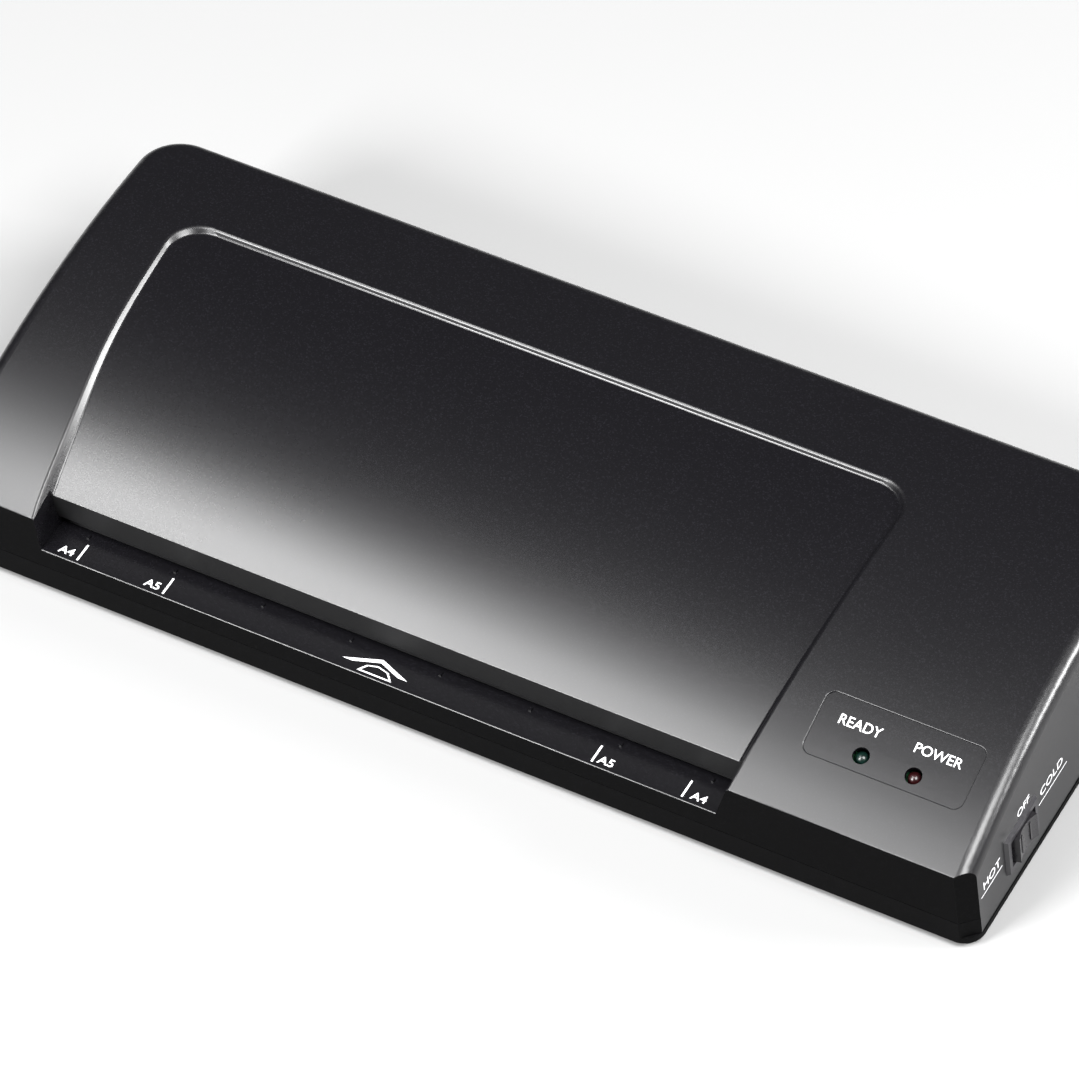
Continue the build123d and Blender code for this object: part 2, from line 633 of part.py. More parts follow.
# ---- drive ---------------------------------------------------------------------------
def make_idler_pin():
    axis = idler_axis()
    pin = rod_x(axis, 2.5, PLATE_IN, PLATE_IN + SHEET) + rod_x(axis, 3.6, PLATE_IN + SHEET, GEAR_X[0] - 0.3)
    pin += rod_x(axis, 2.0, PLATE_IN, GEAR_X[1] + 2.2)
    groove = GEAR_X[1] + 0.6
    pin -= rod_x(axis, 4, groove, groove + 0.8) - rod_x(axis, 1.6, groove, groove + 0.8)
    return pin.solid()


def make_idler_clip():
    axis, x = idler_axis(), GEAR_X[1] + 0.65
    clip = rod_x(axis, 3.4, x, x + 0.7) - rod_x(axis, 1.6, x - 1, x + 1)
    return (clip - box((x - 1, x + 1), (axis[0] - 1.1, axis[0] + 1.1), (axis[1], axis[1] + 5))).solid()


def motor_ears():
    """Fixing points of the motor, above and below its output shaft."""
    y, z = pinion_axis()
    return [(y - 17.6, z + 15.0), (y + 17.6, z - 15.0)]


def make_motor():
    axis = pinion_axis()
    can = rod_x(axis, MOTOR_R, MOTOR_X[0] + 4, MOTOR_X[1])
    can = fillet(can.edges().group_by(Axis.X)[-1], 1.5)
    can += rod_x(axis, MOTOR_R - 1.2, *(MOTOR_X[0], MOTOR_X[0] + 4))
    for y, z in motor_ears():
        can += rod_x((y, z), 3.6, MOTOR_X[0], MOTOR_X[0] + 1.2)
    can += rod_x(axis, 4.5, BRACKET_X, MOTOR_X[0] + 1)
    can -= rod_x(axis, 2.5 + RUNNING, BRACKET_X - 1, MOTOR_X[0] + 7)
    for y, z in motor_ears():
        can -= rod_x((y, z), 1.5, MOTOR_X[0] - 1, MOTOR_X[0] + 2)
        can -= rod_x((y, z), 3.2, MOTOR_X[0] + 1.2, MOTOR_X[1])
    return can.solid()


def make_motor_bracket():
    plate = box((BRACKET_X, BRACKET_X + SHEET), (93, 138), (6, 47.5))
    plate -= rod_x(pinion_axis(), 4.6, BRACKET_X - 1, BRACKET_X + 3)
    for y, z in motor_ears() + list(STANDOFFS):
        plate -= rod_x((y, z), 1.5, BRACKET_X - 1, BRACKET_X + 3)
    return fillet(plate.edges().filter_by(Axis.X).group_by(SortBy.LENGTH)[0].filter_by(
        lambda e: e.geom_type == GeomType.LINE), 2.0).solid()


def make_standoffs():
    posts = []
    for y, z in STANDOFFS:
        post = rod_x((y, z), 3.0, PLATE_IN + SHEET, BRACKET_X)
        post += rod_x((y, z), 1.5, PLATE_IN - 0.6, BRACKET_X + SHEET)
        posts.append(post)
    return group(posts)


def make_motor_screws():
    screws = []
    for y, z in motor_ears():
        face = MOTOR_X[0] + 1.2
        screws.append(rod_x((y, z), 1.45, BRACKET_X - 1.6, face) + rod_x((y, z), 2.7, face, face + 1.8))
    return group(screws)


def make_motor_shaft():
    return rod_x(pinion_axis(), 2.5, GEAR_X[0] - 1.0, MOTOR_X[0] + 6).solid()


# ---- electronics ---------------------------------------------------------------------
def make_board():
    board = box(BOARD_X, BOARD_Y, (BOARD_Z, BOARD_Z + BOARD_T))
    for x, y in board_corners():
        board -= rod_z((x, y), 1.4, BOARD_Z - 1, BOARD_Z + 3)
    return board.solid()


BOARD_TOP = BOARD_Z + BOARD_T


def make_transformer():
    core = box((146, 168), (46, 64), (BOARD_TOP, BOARD_TOP + 17))
    coil = box((149, 165), (43.5, 66.5), (BOARD_TOP + 3, BOARD_TOP + 14))
    return (core + fillet(coil.edges().filter_by(Axis.Z), 2.0)).solid()


def make_capacitors():
    return group([fillet(rod_z((x, y), r, BOARD_TOP, BOARD_TOP + h).edges().group_by(Axis.Z)[-1], 0.6)
                  for x, y, r, h in ((175, 61, 4.0, 12), (176, 50, 3.2, 10), (148, 37, 2.5, 8))])


def make_heat_sink():
    sink = box((156, 176), (33, 35), (BOARD_TOP, BOARD_TOP + 13))
    for i in range(5):
        x = 157 + 4.5 * i
        sink += box((x, x + 1.0), (35, 39), (BOARD_TOP, BOARD_TOP + 13))
    return sink.solid()


def make_terminal_block():
    block = box((182, 191), (48, 62), (BOARD_TOP, BOARD_TOP + 9))
    for i in range(3):
        y = 50.5 + 4.5 * i
        block -= rod_z((186.5, y), 1.5, BOARD_TOP + 5, BOARD_TOP + 10)
        block -= box((181, 184), (y - 1.2, y + 1.2), (BOARD_TOP + 1.2, BOARD_TOP + 4))
    return block.solid()


LAMP_BOARD_DEPTH = 9.0   # lamp board's upper face below the housing's surface


def make_lamp_board():
    middle = (LAMP_X["ready"] + LAMP_X["power"]) / 2
    board = Pos(0, 0, -LAMP_BOARD_DEPTH - BOARD_T / 2) * Box(38, 12, BOARD_T)
    for x in (-16, 16):
        board -= Pos(x, 0, -LAMP_BOARD_DEPTH) * Cylinder(1.3, 8)
    return (lamp_place(middle) * board).solid()


def make_lamp_posts():
    """Two snap posts that hang the lamp board under the housing's top."""
    middle = (LAMP_X["ready"] + LAMP_X["power"]) / 2
    posts = []
    for x in (-16, 16):
        top = -WALL - 0.05
        post = Pos(x, 0, (top - LAMP_BOARD_DEPTH) / 2) * Cylinder(2.4, top + LAMP_BOARD_DEPTH)
        post += Pos(x, 0, -LAMP_BOARD_DEPTH - 1.6) * Cylinder(1.25, 3.2)
        posts.append(lamp_place(middle) * post)
    return group(posts)


def make_lamp(name):
    """Round lamp standing on the lamp board, its dome a little way down its hole."""
    dome_top = -1.0
    neck = dome_top - LAMP_R
    body = Pos(0, 0, (neck - LAMP_BOARD_DEPTH) / 2) * Cylinder(LAMP_R, neck + LAMP_BOARD_DEPTH)
    body += Pos(0, 0, neck) * Sphere(LAMP_R)
    body += Pos(0, 0, -LAMP_BOARD_DEPTH + 0.6) * Cylinder(3.0, 1.2)
    return (lamp_place(LAMP_X[name]) * body).solid()


# ---- rocker switch -------------------------------------------------------------------
def make_switch_body():
    """Snap-in switch case with a sloped bezel; local +Z points out of the wall."""
    rim = Pos(0, 0, BEZEL_PROUD) * Rectangle(BEZEL_LENGTH - 1.2, BEZEL_WIDTH - 1.2)
    bezel = loft([Rectangle(BEZEL_LENGTH, BEZEL_WIDTH), rim])
    case = Pos(0, 0, -6) * Box(BEZEL_LENGTH - 2.2, BEZEL_WIDTH - 2.4, 12)
    body = bezel + case
    body -= Pos(0, 0, -1.5) * Box(BEZEL_LENGTH - 4.6, ROCKER_WIDTH + 0.8, 9)
    body -= Pos(0, 0, -PIVOT_DEPTH) * Rot(90, 0, 0) * Cylinder(PIVOT_R + 0.08, ROCKER_WIDTH + 2.6)
    return (wall_place() * body).solid()


def make_switch_terminals():
    return group([wall_place() * (Pos(x, 0, -15) * Box(0.8, 4.8, 6)) for x in (-6, 0, 6)])


def make_rocker():
    """Rocker with a dished face, pivoted on an upright pin through its middle."""
    half = ROCKER_LENGTH / 2
    dish, base = 1.3, -4.2
    outline = Polyline((half, ROCKER_PROUD), (half + 0.5, 0), (4.5, base),
                       (-4.5, base), (-half - 0.5, 0), (-half, ROCKER_PROUD))
    face_arc = ThreePointArc((-half, ROCKER_PROUD), (0, ROCKER_PROUD - dish), (half, ROCKER_PROUD))
    side = make_face(Plane.XZ * (Curve() + [outline, face_arc]))
    rocker = extrude(side, ROCKER_WIDTH / 2, both=True)
    for x in (-2.8, 2.8):
        rib_z = ROCKER_PROUD - dish + 0.2 + 0.04 * x * x
        rocker += Pos(x, 0, rib_z - 0.4) * Box(0.7, ROCKER_WIDTH - 2.4, 0.9)
    rocker += Pos(0, 0, -PIVOT_DEPTH) * Rot(90, 0, 0) * Cylinder(PIVOT_R, ROCKER_WIDTH + 2.2)
    return (wall_place() * rocker).solid()


def make_gland():
    tube = rod_y(GLAND, 5.0, DEPTH - 14, DEPTH - 1.4) + rod_y(GLAND, 7.2, DEPTH - 1.5, DEPTH - 0.6)
    tube -= rod_y(GLAND, GLAND_BORE, DEPTH - 20, DEPTH + 2)
    tube += (rod_y(GLAND, 6.0, DEPTH - 6.6, DEPTH - 5.1) - rod_y(GLAND, GLAND_BORE, DEPTH - 8, DEPTH))
    return tube.solid()


# ---- all pieces ----------------------------------------------------------------------
LOWER_END = GEAR_X[1] + 3.0
UPPER_END = GEAR_X[1] + 3.0
LOWER_TOOTH = 90.0
UPPER_TOOTH = mesh_tooth(LOWER_TOOTH, ROLLER_TEETH, ROLLER_TEETH, 90.0)
IDLER_TOOTH = mesh_tooth(LOWER_TOOTH, ROLLER_TEETH, IDLER_TEETH, IDLER_ANGLE)
PINION_TOOTH = mesh_tooth(IDLER_TOOTH, IDLER_TEETH, PINION_TEETH, PINION_ANGLE)

pieces = {
    "upper_housing": make_upper_housing(),
    "lower_housing": make_lower_housing(),
    "rubber_feet": make_feet(),
    "housing_screws": group([screw_up(x, y, 7.4, 2.0, 3.0, 1.4, 17) for x, y in CASE_SCREWS]),
    "left_side_plate": make_side_plate(-1),
    "right_side_plate": make_side_plate(1),
    "side_plate_screws": group([screw_down(x, y, TAB_Z + SHEET, 1.6, 2.8, 1.4, 4.8) for x, y in tab_screws()]),
    "tie_bars": make_tie_bars(),
    "tie_bar_screws": make_tie_screws(),
    "entry_guide_lower": guide([(14.2, 15.6), (14.2, 16.8), (42.3, 18.1), (42.3, 16.9)]),
    "entry_guide_upper": guide([(14.2, 21.3), (42.3, 22.1), (42.3, 23.3), (14.2, 22.5)]),
    "exit_guide_lower": guide([(98, 16.4), (98, 17.6), (143.2, 16.7), (143.2, 15.5)]),
    "exit_guide_upper": guide([(98, 23.0), (98, 24.2), (143.2, 25.1), (143.2, 23.9)]),
    "hot_plate_lower": make_hot_plate(-1),
    "hot_plate_upper": make_hot_plate(1),
    "mica_heater_lower": heat_layer(-1, 3.0, 0.8, 6, HEAT_HALF - 4).solid(),
    "mica_heater_upper": heat_layer(1, 3.0, 0.8, 6, HEAT_HALF - 4).solid(),
    "heater_clamp_bars": make_clamp_bars(),
    "heater_insulators": make_insulators(),
    "thermostat": make_thermostat(),
    "thermal_fuse": make_thermal_fuse(),
    "lower_roller_shaft": make_shaft(LOWER_AXIS, LOWER_END),
    "lower_roller_sleeve": make_sleeve(LOWER_AXIS),
    "lower_roller_gear": gear(LOWER_AXIS, ROLLER_TEETH, LOWER_TOOTH, JOURNAL_R),
    "lower_roller_clips": make_clips(LOWER_AXIS, LOWER_END),
    "lower_roller_bushes": make_lower_bushes(),
    "upper_roller_shaft": make_shaft(UPPER_AXIS, UPPER_END),
    "upper_roller_sleeve": make_sleeve(UPPER_AXIS),
    "upper_roller_gear": gear(UPPER_AXIS, ROLLER_TEETH, UPPER_TOOTH, JOURNAL_R),
    "upper_roller_clips": make_clips(UPPER_AXIS, UPPER_END),
    "upper_roller_bushes": make_upper_bushes(),
    "pressure_springs": make_springs(),
    "idler_gear": gear(idler_axis(), IDLER_TEETH, IDLER_TOOTH, 2.0 + RUNNING),
    "idler_pin": make_idler_pin(),
    "idler_clip": make_idler_clip(),
    "motor_pinion": gear(pinion_axis(), PINION_TEETH, PINION_TOOTH, 2.5),
    "motor_shaft": make_motor_shaft(),
    "drive_motor": make_motor(),
    "motor_bracket": make_motor_bracket(),
    "motor_standoffs": make_standoffs(),
    "motor_screws": make_motor_screws(),
    "circuit_board": make_board(),
    "board_screws": group([screw_down(x, y, BOARD_TOP, 1.4, 2.2, 1.1, 5.0) for x, y in board_corners()]),
    "transformer": make_transformer(),
    "capacitors": make_capacitors(),
    "heat_sink": make_heat_sink(),
    "terminal_block": make_terminal_block(),
    "lamp_board": make_lamp_board(),
    "lamp_board_posts": make_lamp_posts(),
    "ready_lamp": make_lamp("ready"),
    "power_lamp": make_lamp("power"),
    "switch_body": make_switch_body(),
    "switch_terminals": make_switch_terminals(),
    "switch_rocker": make_rocker(),
    "cable_gland": make_gland(),
}
for node, shape in pieces.items():
    export(node, shape)
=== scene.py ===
"""Looks of the pouch laminator: camera, light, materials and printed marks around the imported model."""

import json
import math

import bmesh
import bpy
from mathutils import Matrix, Vector


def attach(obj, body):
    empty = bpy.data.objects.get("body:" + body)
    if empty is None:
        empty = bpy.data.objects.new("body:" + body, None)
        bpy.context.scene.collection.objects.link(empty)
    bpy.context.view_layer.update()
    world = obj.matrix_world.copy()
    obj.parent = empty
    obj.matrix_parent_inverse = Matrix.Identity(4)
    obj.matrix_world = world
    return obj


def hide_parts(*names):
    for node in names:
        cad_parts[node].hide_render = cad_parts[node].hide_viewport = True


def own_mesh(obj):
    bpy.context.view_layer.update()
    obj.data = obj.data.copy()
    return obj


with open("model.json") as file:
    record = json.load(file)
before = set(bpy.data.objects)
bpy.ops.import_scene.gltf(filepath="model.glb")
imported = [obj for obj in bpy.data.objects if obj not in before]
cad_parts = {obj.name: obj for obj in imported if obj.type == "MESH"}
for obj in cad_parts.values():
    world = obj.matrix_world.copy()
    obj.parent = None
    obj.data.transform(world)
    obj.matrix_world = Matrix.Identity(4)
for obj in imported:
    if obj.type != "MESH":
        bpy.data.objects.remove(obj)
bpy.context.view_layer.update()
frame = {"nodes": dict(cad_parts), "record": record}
nodes = frame["nodes"]

# ---- places, in millimetres about the feed slot ------------------------------------------
MM = 0.001
SLOT_ORIGIN = Vector((-22.98, -73.5, 2.0)) * MM     # slot centre at the front face, bottom edge
CROWN_R = 246.0                                      # the top is one big cylinder along X
CROWN_Y = 107.0
CROWN_TOP = 55.1
SHELF_LIP_Z = 17.1                                   # shelf height at its lip and at the slot
SHELF_SLOT_Z = 16.9
SHELF_DEPTH = 11.6
SLOT_TOP = 21.2                                      # upper edge of the feed slot
WALL_X = 203.3                                       # right wall at the bottom edge
WALL_LEAN = 0.077
LABEL_SINK = 0.5
SPRING_X = 120.75                                    # the two pressure springs stand at +X and -X
SPRING_Y = 88.0
SPRING_LOW = 33.45                                   # ends of the wire's centre line
SPRING_TOP = 40.55
SPRING_R = 2.7
SPRING_WIRE = 0.4                                    # radius of the wire
SPRING_TURNS = 4
A4_HALF = 105.0                                      # from the slot's centre to the A4 and A5 marks
A5_HALF = 74.5
FLOOR_GREY = 0.28                                    # reads as white under these lights
INK = 0.03                                           # thickness of the printed marks
RISE = 0.02                                          # gap that keeps them clear of the surface


def at(x, y, z):
    """Point given in mm about the feed slot, in the frame's metres."""
    return SLOT_ORIGIN + Vector((x, y, z)) * MM


def crown_z(y, below=0.0):
    """Height of the top surface, or of a surface `below` it, at depth y."""
    return CROWN_TOP - CROWN_R + math.sqrt((CROWN_R - below) ** 2 - (y - CROWN_Y) ** 2)


# ---- camera -------------------------------------------------------------------------
def make_camera():
    """A long lens to the front right, high up and a little tilted."""
    azimuth, elevation, roll = math.radians(30.675), math.radians(48.909), math.radians(-3.233)
    distance = 2.3233
    target = Vector((3.03, -13.58, 35.37)) * MM
    level = math.cos(elevation)
    back = Vector((math.sin(azimuth) * level, -math.cos(azimuth) * level, math.sin(elevation)))
    right = Vector((0, 0, 1)).cross(back).normalized()
    up = back.cross(right)
    turned_right = math.cos(roll) * right + math.sin(roll) * up
    turned_up = math.cos(roll) * up - math.sin(roll) * right
    camera = bpy.data.objects.new("camera", bpy.data.cameras.new("camera"))
    bpy.context.scene.collection.objects.link(camera)
    rotation = Matrix((turned_right, turned_up, back)).transposed()
    camera.matrix_world = Matrix.Translation(target + back * distance) @ rotation.to_4x4()
    camera.data.lens = 254.19
    camera.data.sensor_width = 36.0
    camera.data.clip_end = 20.0
    bpy.context.scene.camera = camera


# ---- material helpers -----------------------------------------------------------------
def new_material(name):
    material = bpy.data.materials.new(name)
    material.use_nodes = True
    tree = material.node_tree
    return material, tree, tree.nodes["Principled BSDF"]


def place(tree, stretch=(1.0, 1.0, 1.0)):
    """Object-space position, which stays with the piece, stretched along the axes."""
    spot = tree.nodes.new("ShaderNodeTexCoord").outputs["Object"]
    if stretch == (1.0, 1.0, 1.0):
        return spot
    node = tree.nodes.new("ShaderNodeMapping")
    node.inputs["Scale"].default_value = stretch
    tree.links.new(spot, node.inputs["Vector"])
    return node.outputs["Vector"]


def noise(tree, vector, scale, detail=2.0, roughness=0.5):
    node = tree.nodes.new("ShaderNodeTexNoise")
    node.inputs["Scale"].default_value = scale
    node.inputs["Detail"].default_value = detail
    node.inputs["Roughness"].default_value = roughness
    tree.links.new(vector, node.inputs["Vector"])
    return node.outputs["Fac"]


def cells(tree, vector, scale):
    """Flat random patches, each with its own grey."""
    node = tree.nodes.new("ShaderNodeTexVoronoi")
    node.inputs["Scale"].default_value = scale
    tree.links.new(vector, node.inputs["Vector"])
    split = tree.nodes.new("ShaderNodeSeparateColor")
    tree.links.new(node.outputs["Color"], split.inputs["Color"])
    return split.outputs["Red"]


def stripes(tree, vector, scale, axis):
    node = tree.nodes.new("ShaderNodeTexWave")
    node.bands_direction = axis
    node.inputs["Scale"].default_value = scale
    node.inputs["Distortion"].default_value = 0.6
    node.inputs["Detail Scale"].default_value = 2.0
    tree.links.new(vector, node.inputs["Vector"])
    return node.outputs["Fac"]


def ramp(tree, value, low, high, a, b):
    """Maps value from low..high to a..b, clamped."""
    node = tree.nodes.new("ShaderNodeMapRange")
    node.inputs["From Min"].default_value = low
    node.inputs["From Max"].default_value = high
    node.inputs["To Min"].default_value = a
    node.inputs["To Max"].default_value = b
    tree.links.new(value, node.inputs["Value"])
    return node.outputs["Result"]


def maths(tree, operation, a, b):
    """a and b are sockets or numbers."""
    node = tree.nodes.new("ShaderNodeMath")
    node.operation = operation
    for slot, value in zip(node.inputs, (a, b)):
        if isinstance(value, (int, float)):
            slot.default_value = value
        else:
            tree.links.new(value, slot)
    return node.outputs["Value"]


def mix_colour(tree, factor, a, b):
    """Colour a where factor is 0 and b where it is 1."""
    node = tree.nodes.new("ShaderNodeMix")
    node.data_type = "RGBA"
    node.inputs[6].default_value = (*a, 1)
    node.inputs[7].default_value = (*b, 1)
    tree.links.new(factor, node.inputs[0])
    return node.outputs[2]


def bump(tree, height, strength, distance, normal=None):
    node = tree.nodes.new("ShaderNodeBump")
    node.inputs["Strength"].default_value = strength
    node.inputs["Distance"].default_value = distance
    tree.links.new(height, node.inputs["Height"])
    if normal is not None:
        tree.links.new(normal, node.inputs["Normal"])
    return node.outputs["Normal"]


def finish_shader(tree, shader, colour, rough, normal):
    tree.links.new(colour, shader.inputs["Base Color"])
    tree.links.new(rough, shader.inputs["Roughness"])
    tree.links.new(normal, shader.inputs["Normal"])


# ---- housing plastic --------------------------------------------------------------------
def inside_panel(tree):
    """1 on the sunk panel, whose surface lies closer to the crown's axis, and 0 on the outer top."""
    split = tree.nodes.new("ShaderNodeSeparateXYZ")
    tree.links.new(place(tree), split.inputs["Vector"])
    centre = at(0, CROWN_Y, CROWN_TOP - CROWN_R)
    dy = maths(tree, "SUBTRACT", split.outputs["Y"], centre.y)
    dz = maths(tree, "SUBTRACT", split.outputs["Z"], centre.z)
    square = maths(tree, "ADD", maths(tree, "MULTIPLY", dy, dy), maths(tree, "MULTIPLY", dz, dz))
    radius = maths(tree, "SQRT", square, 0.0)
    return ramp(tree, radius, (CROWN_R - 1.3) * MM, (CROWN_R - 0.5) * MM, 1.0, 0.0)


def housing_plastic(name, colour, fleck, rough, panel_rough, specular):
    """Moulded ABS with a fine spark-eroded grain whose facets glitter a little in the light."""
    material, tree, shader = new_material(name)
    spot = place(tree)
    fine = noise(tree, spot, 2400.0, 1.0)
    grain = cells(tree, spot, 2600.0)
    patch = noise(tree, spot, 9.0, 1.0)
    speckled = mix_colour(tree, ramp(tree, grain, 0.80, 1.0, 0.0, 1.0), colour, fleck)
    gloss = ramp(tree, inside_panel(tree), 0.0, 1.0, rough, panel_rough)
    gloss = maths(tree, "ADD", gloss, ramp(tree, patch, 0.3, 0.7, -0.01, 0.01))
    gloss = maths(tree, "ADD", gloss, ramp(tree, grain, 0.0, 1.0, -0.012, 0.012))
    finish_shader(tree, shader, speckled, gloss, bump(tree, fine, 0.05, 0.00003))
    shader.inputs["Specular IOR Level"].default_value = specular
    return material


# ---- other materials ----------------------------------------------------------------------
def plain(name, colour, rough, metal=0.0, grit=400.0, depth=0.15, specular=0.5, patchy=0.8):
    """Even surface with small changes of colour and gloss and a fine grit."""
    material, tree, shader = new_material(name)
    spot = place(tree)
    fine = noise(tree, spot, grit, 3.0)
    patch = noise(tree, spot, 45.0, 2.0)
    darker = tuple(patchy * part for part in colour)
    tint = mix_colour(tree, ramp(tree, patch, 0.35, 0.65, 0.0, 1.0), colour, darker)
    finish_shader(tree, shader, tint, ramp(tree, fine, 0.3, 0.7, rough * 0.85, rough * 1.15),
                  bump(tree, fine, depth, 0.00004))
    shader.inputs["Metallic"].default_value = metal
    shader.inputs["Specular IOR Level"].default_value = specular
    return material


def brushed(name, colour, rough, along, depth=0.3):
    """Metal with fine lines that run along one axis."""
    material, tree, shader = new_material(name)
    stretch = tuple(0.04 if axis == along else 1.0 for axis in "XYZ")
    lines = noise(tree, place(tree, stretch), 1500.0, 2.0, 0.7)
    stain = noise(tree, place(tree), 30.0, 3.0)
    darker = tuple(0.72 * part for part in colour)
    tint = mix_colour(tree, ramp(tree, stain, 0.35, 0.75, 0.0, 1.0), colour, darker)
    finish_shader(tree, shader, tint, ramp(tree, lines, 0.3, 0.7, rough - 0.08, rough + 0.1),
                  bump(tree, lines, depth, 0.00003))
    shader.inputs["Metallic"].default_value = 1.0
    return material


def spangled(name, colour, rough):
    """Hot-dip galvanised sheet: flat crystals a few millimetres wide, each with its own grey."""
    material, tree, shader = new_material(name)
    crystal = cells(tree, place(tree), 260.0)
    fine = noise(tree, place(tree), 900.0, 2.0)
    darker = tuple(0.68 * part for part in colour)
    gloss = ramp(tree, crystal, 0.0, 1.0, rough - 0.08, rough + 0.12)
    tint = mix_colour(tree, crystal, colour, darker)
    finish_shader(tree, shader, tint, gloss, bump(tree, fine, 0.2, 0.00002))
    shader.inputs["Metallic"].default_value = 1.0
    return material


def layered(name, colour, gap_colour, scale, axis, rough, metal):
    """Stacked sheets seen on edge."""
    material, tree, shader = new_material(name)
    bands = stripes(tree, place(tree), scale, axis)
    rust = noise(tree, place(tree), 350.0, 3.0)
    tint = mix_colour(tree, ramp(tree, bands, 0.2, 0.55, 1.0, 0.0), colour, gap_colour)
    finish_shader(tree, shader, tint, ramp(tree, rust, 0.3, 0.7, rough - 0.1, rough + 0.1),
                  bump(tree, bands, 0.6, 0.0001))
    shader.inputs["Metallic"].default_value = metal
    return material


def flaky(name, colour, dark):
    """Pressed mica: small overlapping flakes with a faint sheen."""
    material, tree, shader = new_material(name)
    flake = cells(tree, place(tree), 420.0)
    cloud = noise(tree, place(tree), 60.0, 4.0)
    mixed = maths(tree, "MULTIPLY", flake, ramp(tree, cloud, 0.3, 0.7, 0.4, 1.0))
    finish_shader(tree, shader, mix_colour(tree, mixed, colour, dark),
                  ramp(tree, flake, 0.0, 1.0, 0.22, 0.5), bump(tree, flake, 0.3, 0.00005))
    return material


def circuit_board(name):
    """Green solder mask with lighter copper tracks showing through as a blocky net."""
    material, tree, shader = new_material(name)
    track = tree.nodes.new("ShaderNodeTexBrick")
    track.inputs["Scale"].default_value = 120.0
    track.inputs["Mortar Size"].default_value = 0.06
    tree.links.new(place(tree), track.inputs["Vector"])
    wear = noise(tree, place(tree), 260.0, 3.0)
    tint = mix_colour(tree, track.outputs["Fac"], (0.012, 0.07, 0.03), (0.03, 0.15, 0.06))
    relief = bump(tree, track.outputs["Fac"], 0.5, 0.00004)
    finish_shader(tree, shader, tint, ramp(tree, wear, 0.3, 0.7, 0.25, 0.4), relief)
    return material


def lamp_lens(name, colour, glow):
    """Tinted epoxy: a dark unlit dome with a faint lighter swirl in it."""
    material, tree, shader = new_material(name)
    swirl = noise(tree, place(tree), 700.0, 2.0)
    finish_shader(tree, shader, mix_colour(tree, ramp(tree, swirl, 0.35, 0.7, 0.0, 1.0), colour, glow),
                  ramp(tree, swirl, 0.3, 0.7, 0.28, 0.36), bump(tree, swirl, 0.02, 0.00001))
    shader.inputs["Transmission Weight"].default_value = 0.2
    shader.inputs["IOR"].default_value = 1.52
    return material


def nylon(name, colour):
    """Natural nylon: milky, with light going a little way in."""
    material = plain(name, colour, 0.42, 0.0, 500.0, 0.1, 0.5, 0.93)
    shader = material.node_tree.nodes["Principled BSDF"]
    shader.inputs["Subsurface Weight"].default_value = 0.25
    shader.inputs["Subsurface Radius"].default_value = (0.0012, 0.0010, 0.0008)
    return material


